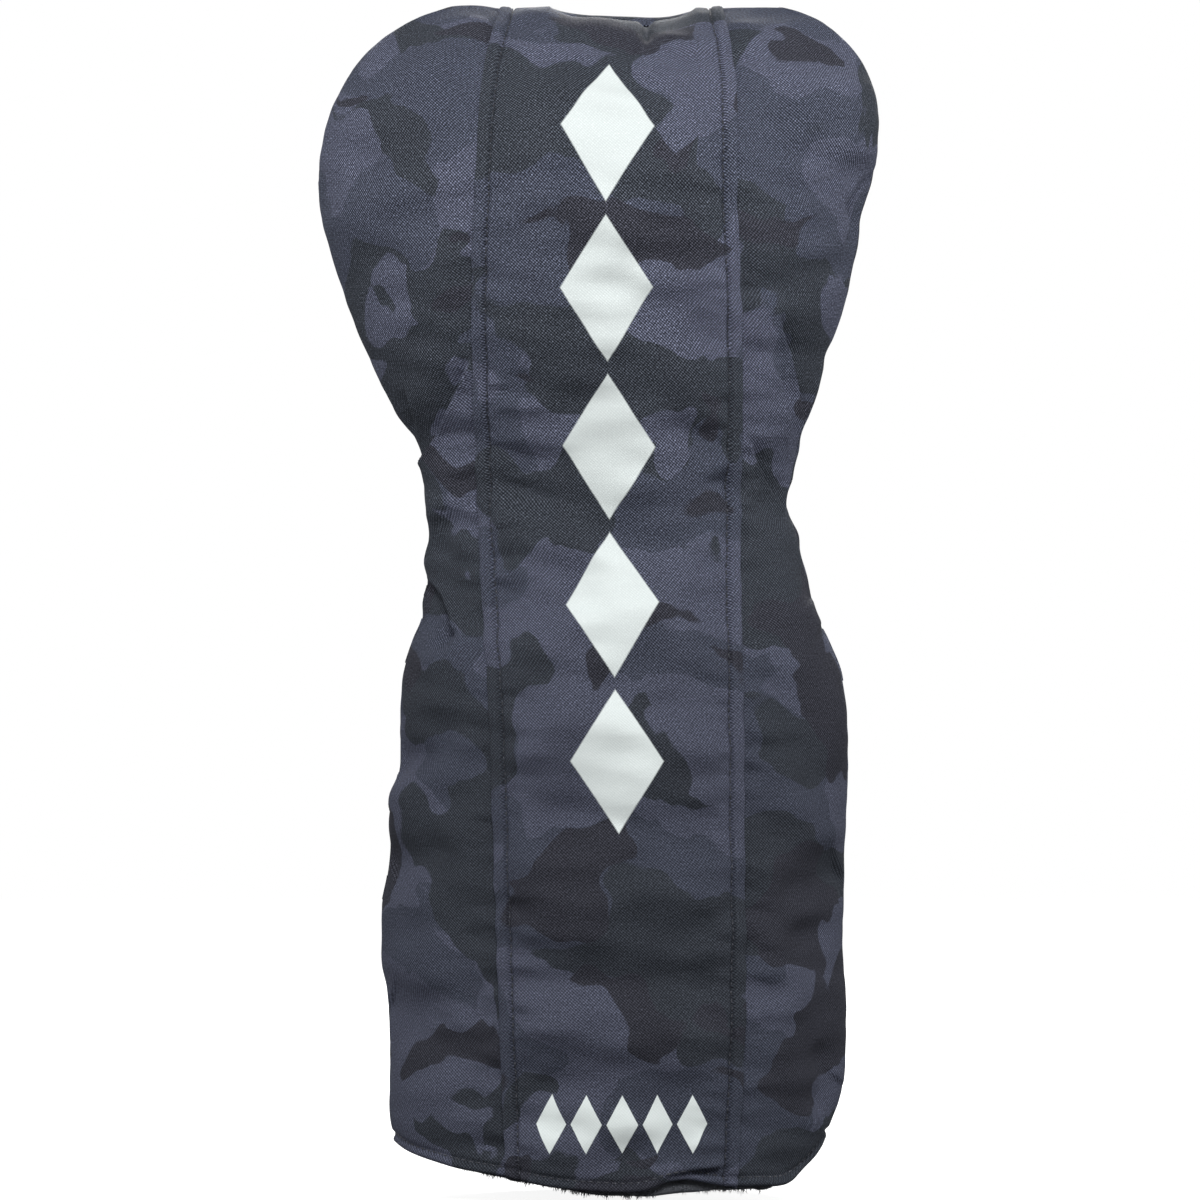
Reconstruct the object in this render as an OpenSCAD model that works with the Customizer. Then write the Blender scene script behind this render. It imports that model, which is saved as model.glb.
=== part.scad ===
// Golf driver head cover: a padded fabric sock with a round head, an elastic neck and a straight sleeve.
// Millimetres. The cover stands on its hem at z = 0, its front faces -Y and its top seam runs along X.
// Front and back are each three sewn panels: a centre panel whose folded edges lap over two side panels.
// Behind every fabric panel lie a piece of padding and a piece of fleece lining, cut to the same seams.

/* [Head] */
// Height of the whole cover, from the hem to the top seam
cover_h = 350; // [320:1:390]
// Widest width of the head
head_w = 163; // [150:1:180]
// Depth of the head, front to back
head_d = 104; // [80:1:125]
// Radius of the head's two top corners, seen from the front
corner_r = 42; // [32:1:52]
// Height over which the head's depth closes to the top seam
dome_h = 62; // [50:1:80]
// How far the top seam sags between the corners
top_sag = 5; // [0:0.5:8]

/* [Neck] */
// Height of the narrowest point above the hem
neck_z = 203; // [190:1:220]
// Width at the neck
neck_w = 107; // [96:1:125]
// Depth at the neck
neck_d = 62; // [48:1:80]
// Height of the elastic band
elastic_h = 20; // [12:1:28]
// Thickness of the elastic band
elastic_t = 1.2; // [0.8:0.1:2]

/* [Sleeve] */
// Width of the sleeve
sleeve_w = 135.5; // [120:0.5:150]
// Depth of the sleeve
sleeve_d = 82; // [64:1:100]
// Height at which the sleeve starts to draw in towards the neck
sleeve_z = 142; // [120:1:160]
// Width of the mouth at the hem
mouth_w = 131; // [118:1:145]
// Depth of the mouth at the hem
mouth_d = 78; // [60:1:95]
// Height over which the mouth opens out to the sleeve's full size
mouth_h = 60; // [40:1:90]
// Rise of the hem from the centre panels to the side seams
hem_rise = 9; // [0:0.5:14]
// Height of the turned hem, which closes over the padding's lower edge
hem_h = 3; // [2:0.5:6]

/* [Panels] */
// Width of a centre panel between its folded edges
centre_w = 74; // [60:1:82]
// How far each folded edge leans in at the top seam
centre_lean = 5; // [0:0.5:8]
// Width of the lap, from the folded edge to its stitching
lap_w = 3.8; // [3:0.1:6]

/* [Layers] */
// Thickness of the outer fabric
fabric_t = 0.9; // [0.6:0.1:1.4]
// Thickness of the padding
padding_t = 3; // [2.2:0.1:4.5]
// Thickness of the fleece lining
lining_t = 2.6; // [1.6:0.1:4]

/* [Hidden] */

NAVY = [0.22, 0.23, 0.31];
NAVY_SIDE = [0.25, 0.26, 0.35];
FOAM = [0.55, 0.55, 0.57];
FLEECE = [0.11, 0.11, 0.13];
RUBBER_WHITE = [0.85, 0.85, 0.83];

// The sewn shape: flat part of the top seam, and where the corners and the dome begin.
top_flat = head_w / 2 - corner_r;
corner_z = cover_h - corner_r;
dome_z = cover_h - dome_h;
lean_h = 30;          // height over which the centre panel's edges lean in
flat_share = 0.5;     // share of the hem's half width that lies flat
squareness = 2.3;     // section y = depth * (1 - (x / half width) ^ squareness) ^ roundness
roundness = 0.6;
lap_ramp = 1.5;       // run over which the centre fabric steps up on to its lap
channel_ramp = 1;     // run over which padding steps round the elastic and the turned hem

// Insets of the faces between layers, measured inward from the outside of the fabric.
under_fabric = fabric_t;
under_padding = fabric_t + padding_t;
under_lining = fabric_t + padding_t + lining_t;

function smooth(t) = let (u = min(1, max(0, t))) u * u * (3 - 2 * u);
// Rises faster than smooth() at first, as the head swells straight out of the gathered neck.
function swell(t) = let (u = min(1, max(0, t))) (sin(90 * u) + smooth(u)) / 2;

// One measure of the sewn shape, width or depth, at height z. full_z is where the head reaches it.
function measure(z, mouth, sleeve, neck, head, full_z) =
    z < sleeve_z ? mouth + (sleeve - mouth) * smooth(z / mouth_h)
    : z < neck_z ? sleeve + (neck - sleeve) * smooth((z - sleeve_z) / (neck_z - sleeve_z))
    : neck + (head - neck) * swell((z - neck_z) / (full_z - neck_z));
function half_depth(z) = measure(z, mouth_d, sleeve_d, neck_d, head_d, dome_z) / 2;
function half_width(z, inset) = z > corner_z
    ? top_flat + sqrt(max(0, pow(corner_r - inset, 2) - pow(z - corner_z, 2)))
    : measure(z, mouth_w, sleeve_w, neck_w, head_w, corner_z) / 2 - inset;

// A row is [height, dome angle]. Rows below the dome have angle 0; on the dome the height is dome_z.
hem_steps = 9;
head_steps = 6;
dome_steps = 7;
elastic_z = neck_z - elastic_h / 2;
padding_z = hem_h + channel_ramp;
rows = concat(
    [[0, 0], [hem_h, 0]],
    [for (i = [0 : hem_steps]) [padding_z + (elastic_z - channel_ramp - padding_z) * i / hem_steps, 0]],
    [for (z = [elastic_z, neck_z, elastic_z + elastic_h]) [z, 0]],
    [for (i = [0 : head_steps - 1])
        let (low = elastic_z + elastic_h + channel_ramp) [low + (dome_z - low) * i / head_steps, 0]],
    [for (i = [0 : dome_steps]) [dome_z, 90 * i / dome_steps]]
);
LINING_ROW = 1;                       // the lining starts above the turned hem
PADDING_ROW = 2;                      // and so does the padding
ELASTIC_ROW = PADDING_ROW + hem_steps + 1;
ELASTIC_ROWS = [ELASTIC_ROW, ELASTIC_ROW + 1, ELASTIC_ROW + 2];

function row_z(row, inset) = row[0] + (row[1] > 0 ? (dome_h - inset) * sin(row[1]) : 0);
function seam_x(row) = let (z = row_z(row, 0))
    centre_w / 2 - centre_lean * smooth((z - cover_h + lean_h) / lean_h);

// A column is [zone, place, face]: zone FIELD has place -1 to 1 across the centre panel, LAP has place
// -1 or 1, and SIDE has place 1 at a seam's stitching to 2 at the side seam, negative on the left.
FIELD = 0;
LAP = 1;
SIDE = 2;
FRONT = -1;
BACK = 1;
function turn_at(row, col) =
    let (a = half_width(row_z(row, 0), 0), place = abs(col[1]), stitched = asin((seam_x(row) - lap_w) / a))
    sign(col[1]) * (
        col[0] == FIELD ? asin(place * (seam_x(row) - lap_w - lap_ramp) / a)
        : col[0] == LAP ? asin(seam_x(row) / a)
        : stitched + (90 - stitched) * (place - 1)
    );

// The point of the sewn shape on a row and column, at an inset from its outside.
function sewn_point(row, col, inset) =
    let (
        turn = turn_at(row, col),
        z = row_z(row, inset),
        x = half_width(z, inset) * sin(turn),
        share = abs(sin(turn)),
        depth = (half_depth(row[0]) - inset) * cos(row[1]),
        y = share >= 1 ? 0 : depth * pow(1 - pow(share, squareness), roundness),
        lift = hem_rise * pow(max(0, (share - flat_share) / (1 - flat_share)), 2) * (1 - smooth(z / mouth_h)),
        sag = top_sag * max(0, 1 - pow(x / top_flat, 2)) * pow(sin(row[1]), 6)
    )
    [x, col[2] * (row[1] == 90 ? 0 : y), z + lift - sag];

// A layer of cloth over part of the sewn shape. Columns run anticlockwise seen from above. outside and
// inside give the inset of its two faces at a row number and column.
module cloth(row_numbers, cols, outside, inside) {
    nr = len(row_numbers);
    nc = len(cols);
    n = nr * nc;
    function at(r, c) = r * nc + c;
    function strip(o0, o1, p0, p1) = [[o0, o1, p1], [o0, p1, p0]];
    faces = concat(
        [for (r = [0 : nr - 2], c = [0 : nc - 2]) each [
            [at(r, c), at(r + 1, c + 1), at(r, c + 1)],
            [at(r, c), at(r + 1, c), at(r + 1, c + 1)],
            [n + at(r, c), n + at(r, c + 1), n + at(r + 1, c + 1)],
            [n + at(r, c), n + at(r + 1, c + 1), n + at(r + 1, c)]
        ]],
        [for (c = [0 : nc - 2]) each concat(
            strip(at(0, c), at(0, c + 1), n + at(0, c), n + at(0, c + 1)),
            strip(at(nr - 1, c + 1), at(nr - 1, c), n + at(nr - 1, c + 1), n + at(nr - 1, c))
        )],
        [for (r = [0 : nr - 2]) each concat(
            strip(at(r + 1, 0), at(r, 0), n + at(r + 1, 0), n + at(r, 0)),
            strip(at(r, nc - 1), at(r + 1, nc - 1), n + at(r, nc - 1), n + at(r + 1, nc - 1))
        )]
    );
    polyhedron(concat(
        [for (r = row_numbers, col = cols) sewn_point(rows[r], col, outside(r, col))],
        [for (r = row_numbers, col = cols) sewn_point(rows[r], col, inside(r, col))]
    ), faces);
}

function from_row(first) = [for (r = [first : len(rows) - 1]) r];
function in_channel(r) = r >= ELASTIC_ROWS[0] && r <= ELASTIC_ROWS[2];
function in_hem(r) = r <= LINING_ROW;

field_steps = 4;
side_steps = 6;
function field_cols(face) = [for (i = [0 : field_steps]) [FIELD, face * (1 - 2 * i / field_steps), face]];
function side_cols(way, face) = [for (i = [0 : side_steps]) [SIDE, way * (1 + i / side_steps), face]];
function backwards(list) = [for (i = [len(list) - 1 : -1 : 0]) list[i]];
function stitch_col(way, face) = [SIDE, way, face];
function tail(list) = [for (i = [1 : len(list) - 1]) list[i]];

// Centre panel: its folded edges step up by one fabric thickness and lap over the side panels.
module centre_panel() {
    function lapped(col) = col[0] == LAP || (col[0] == SIDE && abs(col[1]) == 1);
    cols = concat([[LAP, -1, FRONT], stitch_col(-1, FRONT)], field_cols(FRONT), [stitch_col(1, FRONT), [LAP, 1, FRONT]]);
    cloth(from_row(0), cols,
        function (r, col) lapped(col) ? -fabric_t : 0,
        function (r, col) lapped(col) ? 0 : in_hem(r) ? under_padding : under_fabric);
}

// Side panel, from the stitching of the lap round to the side seam.
module side_panel() {
    cloth(from_row(0), side_cols(1, FRONT),
        function (r, col) 0,
        function (r, col) in_hem(r) ? under_padding : under_fabric);
}

// The columns behind a centre panel, from stitching to stitching.
function between_stitches() = concat([stitch_col(-1, FRONT)], field_cols(FRONT), [stitch_col(1, FRONT)]);

module centre_padding(channel) {
    cloth(from_row(PADDING_ROW), between_stitches(),
        function (r, col) under_fabric,
        function (r, col) channel && in_channel(r) ? under_padding - elastic_t : under_padding);
}

module side_padding() {
    cloth(from_row(PADDING_ROW), side_cols(1, FRONT),
        function (r, col) under_fabric,
        function (r, col) in_channel(r) ? under_padding - elastic_t : under_padding);
}

// Fleece lining behind the columns given.
module lining(cols) {
    cloth(from_row(LINING_ROW), cols,
        function (r, col) under_padding,
        function (r, col) under_lining);
}
module centre_lining() lining(between_stitches());
module side_lining() lining(side_cols(1, FRONT));

// The elastic runs from one front lap round the back to the other, in the padding's channel.
module elastic() {
    cols = concat(
        side_cols(1, FRONT),
        tail(backwards(side_cols(1, BACK))),
        field_cols(BACK),
        side_cols(-1, BACK),
        tail(backwards(side_cols(-1, FRONT)))
    );
    cloth(ELASTIC_ROWS, cols,
        function (r, col) under_padding - elastic_t,
        function (r, col) under_padding);
}

module left() mirror([1, 0, 0]) children();
module back() mirror([0, 1, 0]) children();

module front_centre_panel() color(NAVY) centre_panel();
module front_left_panel() color(NAVY_SIDE) left() side_panel();
module front_right_panel() color(NAVY_SIDE) side_panel();
module back_centre_panel() color(NAVY) back() centre_panel();
module back_left_panel() color(NAVY_SIDE) back() left() side_panel();
module back_right_panel() color(NAVY_SIDE) back() side_panel();
module front_centre_padding() color(FOAM) centre_padding(false);
module front_left_padding() color(FOAM) left() side_padding();
module front_right_padding() color(FOAM) side_padding();
module back_centre_padding() color(FOAM) back() centre_padding(true);
module back_left_padding() color(FOAM) back() left() side_padding();
module back_right_padding() color(FOAM) back() side_padding();
module front_centre_lining() color(FLEECE) centre_lining();
module front_left_lining() color(FLEECE) left() side_lining();
module front_right_lining() color(FLEECE) side_lining();
module back_centre_lining() color(FLEECE) back() centre_lining();
module back_left_lining() color(FLEECE) back() left() side_lining();
module back_right_lining() color(FLEECE) back() side_lining();
module neck_elastic() color(RUBBER_WHITE) elastic();

front_centre_panel();
front_left_panel();
front_right_panel();
back_centre_panel();
back_left_panel();
back_right_panel();
front_centre_padding();
front_left_padding();
front_right_padding();
back_centre_padding();
back_left_padding();
back_right_padding();
front_centre_lining();
front_left_lining();
front_right_lining();
back_centre_lining();
back_left_lining();
back_right_lining();
neck_elastic();
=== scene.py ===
import math

import bmesh
import bpy
import numpy as np
from bpy.props import FloatProperty, FloatVectorProperty, PointerProperty
from bpy.types import Operator, Panel, PropertyGroup
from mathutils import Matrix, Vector


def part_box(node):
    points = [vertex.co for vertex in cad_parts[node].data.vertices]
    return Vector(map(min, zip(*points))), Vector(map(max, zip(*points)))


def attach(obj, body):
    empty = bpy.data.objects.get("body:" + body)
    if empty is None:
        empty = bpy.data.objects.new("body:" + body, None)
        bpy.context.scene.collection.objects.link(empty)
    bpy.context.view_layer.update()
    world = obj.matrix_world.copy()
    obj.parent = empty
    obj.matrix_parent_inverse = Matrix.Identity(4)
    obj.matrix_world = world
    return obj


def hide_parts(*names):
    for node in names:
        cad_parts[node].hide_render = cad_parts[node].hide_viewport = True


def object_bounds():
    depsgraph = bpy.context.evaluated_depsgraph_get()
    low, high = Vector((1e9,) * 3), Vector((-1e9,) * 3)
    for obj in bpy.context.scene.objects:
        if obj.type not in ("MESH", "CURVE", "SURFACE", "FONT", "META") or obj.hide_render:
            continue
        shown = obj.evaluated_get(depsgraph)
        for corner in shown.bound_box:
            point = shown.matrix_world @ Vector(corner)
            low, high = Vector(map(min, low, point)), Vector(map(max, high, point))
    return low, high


bl_info = {
    "name": "Driver Head Cover",
    "version": (1, 0, 0),
    "blender": (4, 5, 0),
    "location": "3D View > Sidebar > Head Cover",
    "description": "Sews a padded golf driver head cover round its packed frame",
    "category": "Object",
}

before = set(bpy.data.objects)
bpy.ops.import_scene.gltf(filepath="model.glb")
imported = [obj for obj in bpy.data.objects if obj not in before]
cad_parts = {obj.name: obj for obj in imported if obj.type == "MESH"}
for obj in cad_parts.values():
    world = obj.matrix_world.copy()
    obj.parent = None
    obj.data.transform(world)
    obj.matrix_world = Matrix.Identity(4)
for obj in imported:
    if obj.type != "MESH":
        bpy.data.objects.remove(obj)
CAD_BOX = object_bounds()

MM = 0.001
FRONT, BACK = -1, 1
LEFT, CENTRE, RIGHT = "left", "centre", "right"
HALF_NAME = {FRONT: "front", BACK: "back"}
PARTS = (LEFT, CENTRE, RIGHT)
PANELS = [(half, part) for half in (FRONT, BACK) for part in PARTS]
BODY = "root"

# Heights and depths of the sewn shape, from the frame.
COVER_H = CAD_BOX[1].z
HEAD_DEPTH = CAD_BOX[1].y
ELASTIC_LOW, ELASTIC_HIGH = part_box("neck_elastic")
NECK_Z = (ELASTIC_LOW.z + ELASTIC_HIGH.z) / 2
FABRIC = 0.9 * MM
WALL = 3.9 * MM
DOME_H = 62 * MM
DOME_Z = COVER_H - DOME_H
DOME_ARC = 90 * MM
NECK_DEPTH = 31 * MM
SLEEVE_DEPTH = 41 * MM
MOUTH_DEPTH = 38 * MM
SLEEVE_Z = 142 * MM
MOUTH_Z = 60 * MM
SQUARENESS = 2.3
ROUNDNESS = 0.6
LAP = 3.4 * MM
# Columns of the centre panels stand closer together at the laps: share of the columns, share of the width.
CENTRE_COLUMNS = (0, 0.2, 0.8, 1), (0, 0.075, 0.925, 1)
HEM_ROLL, HEM_TAIL = 1.2 * MM, 8 * MM
LAP_ROLL, LAP_TAIL = 0.55 * MM, 2.4 * MM
HEM_STITCH = 1.6 * MM


class HeadCoverSettings(PropertyGroup):
    """Sizes and colours that a user would change."""

    ground: FloatVectorProperty(
        name="Ground", description="Violet navy of the camouflage's ground",
        default=(0.0741, 0.0801, 0.1130), size=3, subtype="COLOR", min=0, max=1)
    slate: FloatVectorProperty(
        name="Slate", description="Slate of the camouflage's large patches",
        default=(0.0540, 0.0600, 0.0835), size=3, subtype="COLOR", min=0, max=1)
    moss: FloatVectorProperty(
        name="Moss", description="Dark green grey of the camouflage's lobed patches",
        default=(0.0380, 0.0428, 0.0535), size=3, subtype="COLOR", min=0, max=1)
    plum: FloatVectorProperty(
        name="Plum", description="Darkest plum grey of the camouflage",
        default=(0.0355, 0.0366, 0.0475), size=3, subtype="COLOR", min=0, max=1)
    print_white: FloatVectorProperty(
        name="Print", description="White of the printed lozenges",
        default=(0.78, 0.84, 0.83), size=3, subtype="COLOR", min=0, max=1)
    twill_pitch: FloatProperty(
        name="Twill pitch", description="Distance between two ribs of the twill",
        default=0.62 * MM, min=0.3 * MM, max=2 * MM, unit="LENGTH", precision=5)
    stitch_pitch: FloatProperty(
        name="Stitch pitch", description="Distance from one stitch to the next",
        default=2.3 * MM, min=1.5 * MM, max=5 * MM, unit="LENGTH", precision=4)
    spare_length: FloatProperty(
        name="Spare length", description="How much longer the cloth is cut than the seams that it is sewn to",
        default=0.055, min=0, max=0.12, subtype="FACTOR")
    spare_width: FloatProperty(
        name="Spare width", description="How much wider the cloth is cut than the gathered neck",
        default=0.10, min=0, max=0.25, subtype="FACTOR")
    fold_depth: FloatProperty(
        name="Fold depth", description="How deep the folds are, as a share of those on a worn cover",
        default=1.0, min=0, max=1.5, subtype="FACTOR")


# ---------------------------------------------------------------- the sewn shape

def smooth(t):
    """Eases from 0 to 1 as t goes from 0 to 1."""
    t = np.clip(t, 0, 1)
    return t * t * (3 - 2 * t)


def curve(*points):
    """A smooth function of height through (height, value) points given in millimetres."""
    heights, values = np.array(points, float).T * MM
    slopes = np.gradient(values, heights)

    def at(z):
        z = np.clip(z, heights[0], heights[-1])
        i = np.clip(np.searchsorted(heights, z) - 1, 0, len(heights) - 2)
        run = heights[i + 1] - heights[i]
        t = (z - heights[i]) / run
        return ((1 + 2 * t) * (1 - t) ** 2 * values[i] + t * (1 - t) ** 2 * run * slopes[i]
                + t * t * (3 - 2 * t) * values[i + 1] + t * t * (t - 1) * run * slopes[i + 1])
    return at


# The outline's two sides below the corners, seen from the front: (height, x).
LEFT_SIDE = curve(
    (0, -59.2), (17, -60.4), (25, -61.9), (32, -61.7), (42, -61.6), (52, -62.0), (62, -62.7), (68, -64),
    (74, -64.1), (86, -64), (95, -62.3), (101, -61.7), (112, -61.9), (122, -59.8), (127, -58.7), (133, -58.7),
    (146, -58.5), (155, -57.6), (164, -54.8), (170, -52.2), (176, -51.8), (181, -50.6), (187, -51.4),
    (195, -49.7), (205, -51.2), (216, -52.2), (223, -54.6), (230, -59.6), (234, -61.9), (246, -67.5),
    (258, -72.6), (270, -76.7), (282, -80.3), (292, -82.4), (299, -82.8))
RIGHT_SIDE = curve(
    (0, 66), (15, 66.1), (19, 66.9), (23, 68.8), (29, 71.2), (35, 72.4), (46, 72.8), (58, 72.9), (76, 71.8),
    (88, 72.3), (99, 72.3), (122, 73.4), (134, 73.4), (148, 72.4), (154, 71.4), (164, 67.5), (170, 64.6),
    (181, 61.8), (193, 58.6), (199, 56.9), (203, 55.8), (211, 57.0), (223, 59.3), (234, 63.9), (243, 66.2),
    (247, 66.8), (252, 69.1), (264, 72.9), (276, 75.5), (283, 76.8), (287, 77), (293, 78.9), (299, 80.6),
    (308, 82), (316, 82.3))
# Folded edges of the centre panel's laps: (height, x).
LEFT_LAP = curve((0, -26.5), (58, -28.8), (117, -30.9), (146, -32), (175, -33.8), (204, -35.3), (264, -36.5),
                 (280, -36.2), (305, -35), (328, -33.4), (340, -31), (350, -28.6))
RIGHT_LAP = curve((0, 40), (64, 42.3), (117, 42), (175, 41.2), (264, 41.0), (288, 39.8), (330, 38.9),
                  (350, 35.8))
# The two top corners are quarter ellipses: (centre x, centre z, half width, half height).
LEFT_CORNER = (-35.6 * MM, 299 * MM, 47 * MM, 51.5 * MM)
RIGHT_CORNER = (47 * MM, 316 * MM, 35.3 * MM, 34.5 * MM)
# The top seam sags between the laps, and the cloth of the back stands up behind it.
SAG = 4.4 * MM
BACK_SAG = 2.2 * MM
SAG_X = 7 * MM
SAG_HALF = 21.5 * MM
CORNER_POWER = 2.03
# The hem's edge, front and back: (x, height).
FRONT_HEM = curve(
    (-60, 16), (-54, 13.2), (-45, 10.9), (-36, 9.2), (-28, 8.0), (-19, 6.0), (-10, 4.6), (0, 3.9), (8, 3.6),
    (14, 4.4), (19, 6.2), (25, 7.2), (31, 6.4), (36, 5.4), (41.5, 4.9), (48, 4.9), (53, 4.7), (56.2, 5.3),
    (59.1, 7.1), (62, 10.5), (64, 13.6), (66, 17))
BACK_HEM = curve((-60, 16), (-45, 8), (-28, 3.4), (-5, 0.9), (20, 0.9), (40, 2.8), (55, 7.5), (66, 17))
# The lining's lower edge at the front, which peeks out on the right: (x, height).
FRONT_FLEECE = curve(
    (-60, 16.6), (-36, 9.6), (-19, 6.2), (-10, 4.2), (0, 3.0), (8, 2.8), (14, 3.0), (19, 3.8), (25, 4.4),
    (31, 4.2), (41.5, 3.8), (48, 4.0), (53, 4.4), (57, 6.2), (60, 9.2), (66, 17.4))


def hem_height(half, x, lining):
    """Height at x of the fold of the hem, or of the lining's lower edge, which peeks out at the front."""
    if lining:
        return FRONT_FLEECE(x) if half == FRONT else np.maximum(BACK_HEM(x), 1.6 * MM)
    return (FRONT_HEM if half == FRONT else BACK_HEM)(x) + HEM_ROLL


def outline(z):
    """The left and right edge of the outline at height z."""
    def side(below, corner, way):
        x, middle, width, height = corner
        share = np.clip((z - middle) / height, 0, 1)
        reach = (1 - share ** CORNER_POWER) ** (1 / CORNER_POWER)
        return np.where(z > middle, x + way * width * reach, below(z))
    return side(LEFT_SIDE, LEFT_CORNER, -1), side(RIGHT_SIDE, RIGHT_CORNER, 1)


def half_depth(z):
    """Half the depth of the sewn shape at height z, below the dome."""
    head = np.clip((z - NECK_Z) / (DOME_Z - NECK_Z), 0, 1)
    swell = (np.sin(head * math.pi / 2) + smooth(head)) / 2
    below = SLEEVE_DEPTH + (NECK_DEPTH - SLEEVE_DEPTH) * smooth((z - SLEEVE_Z) / (NECK_Z - SLEEVE_Z))
    mouth = MOUTH_DEPTH + (SLEEVE_DEPTH - MOUTH_DEPTH) * smooth(z / MOUTH_Z)
    sleeve = np.where(z < SLEEVE_Z, mouth, below)
    return np.where(z < NECK_Z, sleeve, NECK_DEPTH + (HEAD_DEPTH - NECK_DEPTH) * swell)


def row_of(h):
    """Height and dome angle of a row at distance h up the cloth."""
    angle = np.clip((h - DOME_Z) / DOME_ARC, 0, 1) * math.pi / 2
    return np.where(h < DOME_Z, h, DOME_Z + DOME_H * np.sin(angle)), angle


def middle(z):
    """The x at which the sewn shape is deepest, between the laps."""
    return (LEFT_LAP(z) + RIGHT_LAP(z)) / 2


def shell(half, x, h):
    """The smooth sewn shape under x, at distance h up the cloth of the front or back."""
    z, angle = row_of(h)
    left, right = outline(z)
    centre = middle(z)
    share = np.where(x < centre, (centre - x) / (centre - left), (x - centre) / (right - centre))
    share = np.clip(share, 0, 1)
    y = half_depth(np.minimum(z, DOME_Z)) * np.cos(angle) * (1 - share ** SQUARENESS) ** ROUNDNESS
    dip = np.clip(1 - ((x - SAG_X) / SAG_HALF) ** 4, 0, 1)
    crown = np.sin(angle)
    if half == FRONT:
        sag = SAG * dip * crown ** 6
    else:
        sag = dip * (BACK_SAG * crown ** 6 + (SAG - BACK_SAG) * crown ** 400)
    return np.stack([x + 0 * z, half * y, z - sag], -1)


# ---------------------------------------------------------------- folds and creases

def ripple(x, z, length, seed, stretch=1.0, count=16):
    """Smooth noise from -1 to 1 with bumps about as long as length, stretched along x."""
    random = np.random.default_rng(seed)
    total = 0
    for _ in range(count):
        turn = random.uniform(0, 2 * math.pi)
        size = length * random.uniform(0.7, 1.6)
        along = (x * math.cos(turn) / stretch + z * math.sin(turn)) * 2 * math.pi / size
        total = total + np.sin(along + random.uniform(0, 2 * math.pi))
    return np.clip(total / math.sqrt(count), -1.6, 1.6)


def bump(x, z, at, size, height, turn=0.0):
    """A soft hill of that height, or a hollow, at (x, z) with half widths size, turned by degrees."""
    c, s = math.cos(math.radians(turn)), math.sin(math.radians(turn))
    u = ((x - at[0] * MM) * c + (z - at[1] * MM) * s) / (size[0] * MM)
    v = (-(x - at[0] * MM) * s + (z - at[1] * MM) * c) / (size[1] * MM)
    return height * MM * np.exp(-u * u - v * v)


def along_path(x, z, path):
    """Signed distance from the path, positive on its left as it is walked, and how far along it, 0 to 1."""
    points = np.array(path, float) * MM
    lengths = np.linalg.norm(np.diff(points, axis=0), axis=1)
    total = lengths.sum()
    best = np.full(np.shape(x), 1e9)
    signed = np.zeros(np.shape(x))
    place = np.zeros(np.shape(x))
    done = 0.0
    for (a, b), long in zip(zip(points, points[1:]), lengths):
        way = (b - a) / long
        dx, dz = x - a[0], z - a[1]
        run = np.clip(dx * way[0] + dz * way[1], 0, long)
        away = np.hypot(dx - run * way[0], dz - run * way[1])
        side = np.where(way[0] * dz - way[1] * dx >= 0, 1.0, -1.0)
        nearer = away < best
        best = np.where(nearer, away, best)
        signed = np.where(nearer, away * side, signed)
        place = np.where(nearer, (done + run) / total, place)
        done += long
    return signed, place


def crease(x, z, path, drop, lip, reach=9.0, edge=0.9, fade=(0.3, 0.3)):
    """Cloth that dives under a sharp fold: it drops on the path's left and has a raised lip on its right."""
    away, place = along_path(x, z, path)
    ends = smooth(place / fade[0]) * smooth((1 - place) / fade[1])
    left_share = 0.5 + 0.5 * np.tanh(away / (edge * MM))
    left = -drop * np.exp(-np.abs(away) / (reach * MM)) * left_share
    right = lip * np.exp(-np.abs(away) / (0.45 * reach * MM)) * (1 - left_share)
    return MM * ends * (left + right)


def fold(x, z, path, height, width, fade=(0.3, 0.3)):
    """A soft ridge, or a groove where height is below 0, along the path."""
    away, place = along_path(x, z, path)
    ends = smooth(place / fade[0]) * smooth((1 - place) / fade[1])
    return MM * height * ends * np.exp(-(away / (width * MM)) ** 2)


# Folds and creases are listed in millimetres: the path of each, then its sizes, as in the functions above.
SIDE_CREASES = [
    ([(-55, 211), (-52, 215.8), (-47.6, 224.3), (-43.8, 232.3), (-40.3, 239.6), (-36.5, 247.5)],
     3.2, 2.2, 5, 0.3, (0.04, 0.25)),
    ([(-53.5, 219), (-55.5, 228), (-58, 238)], 1.6, 1.0, 4, 0.4),
    ([(-43.2, 165.5), (-44.7, 171.7), (-46.7, 176.1), (-50, 180.5), (-54, 185)],
     3.0, 1.8, 6, 0.4, (0.12, 0.02)),
    ([(72, 276), (75, 284), (74, 290), (77.5, 297), (83, 303)], -0.4, -3.0, 5, 0.8, (0.3, 0.02)),
    ([(51, 262), (53.2, 255), (56.2, 247.8), (59.1, 237.3), (60.3, 229.6), (59.1, 224.3), (56.7, 217.3)],
     3.6, 2.2, 6, 0.4, (0.35, 0.25)),
    ([(50, 246), (53.5, 238), (55.5, 228), (55.5, 219)], 1.4, 1.2, 4, 0.5),
    ([(40.5, 228), (43, 223), (45.6, 219), (48.2, 214.4), (51.2, 209), (55.5, 201.5)],
     2.4, 1.8, 4.6, 0.5, (0.6, 0.04)),
]
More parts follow.
